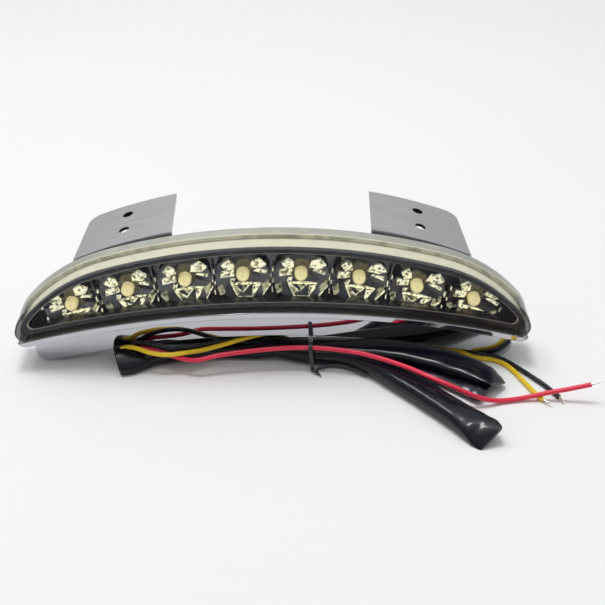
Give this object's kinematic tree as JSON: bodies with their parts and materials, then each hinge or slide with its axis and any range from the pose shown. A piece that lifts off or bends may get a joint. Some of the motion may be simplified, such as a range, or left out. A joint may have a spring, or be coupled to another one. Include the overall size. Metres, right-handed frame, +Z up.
{
  "type": "motorcycle tail light",
  "caption": "Crescent-shaped LED tail light with a smoked lens, polished housing, curved fender brackets and a folded, sleeved cable with bare wire ends.",
  "frame": {"origin": "on the surface the lamp stands on, below the middle of the lamp's length and of its depth from lens face to bracket edge", "axes": "+X along the lamp, -Y out of the lens, +Z up"},
  "size_m": [0.2674, 0.1255, 0.064],
  "materials": {
    "polished_housing": "polished",
    "smoked_lens": "gloss",
    "black_rubber": "matte",
    "pale_sealant": "satin",
    "black_plastic": "satin",
    "reflector_bright": "polished",
    "board_green": "satin",
    "zinc_steel": "satin",
    "led_lens": "gloss",
    "component_black": "matte",
    "solder": "satin",
    "bracket_steel": "satin",
    "sleeve_vinyl": "satin",
    "wire_insulation_red": "satin",
    "wire_insulation_yellow": "satin",
    "wire_insulation_black": "satin"
  },
  "bodies": {
    "root": {"housing": "polished_housing", "lens": "smoked_lens", "lens_seal": "pale_sealant", "bezel": "black_plastic", "reflector": "reflector_bright", "circuit_board": "board_green", "board_screws": "zinc_steel", "led_1": "led_lens", "led_2": "led_lens", "led_3": "led_lens", "led_4": "led_lens", "led_5": "led_lens", "led_6": "led_lens", "led_7": "led_lens", "led_8": "led_lens", "resistors": "component_black", "diodes": "component_black", "solder_joints": "solder", "inner_leads": "wire_insulation_red", "bracket_left": "bracket_steel", "bracket_right": "bracket_steel", "bracket_gaskets": "black_rubber", "bracket_screws": "zinc_steel", "cable_grommet": "black_rubber", "sleeve_lead": "sleeve_vinyl", "sleeve_hank": "sleeve_vinyl", "twist_tie": "black_plastic", "wire_red": "wire_insulation_red", "wire_yellow": "wire_insulation_yellow", "wire_black": "wire_insulation_black", "wire_tips": "solder"}
  },
  "joints": []
}
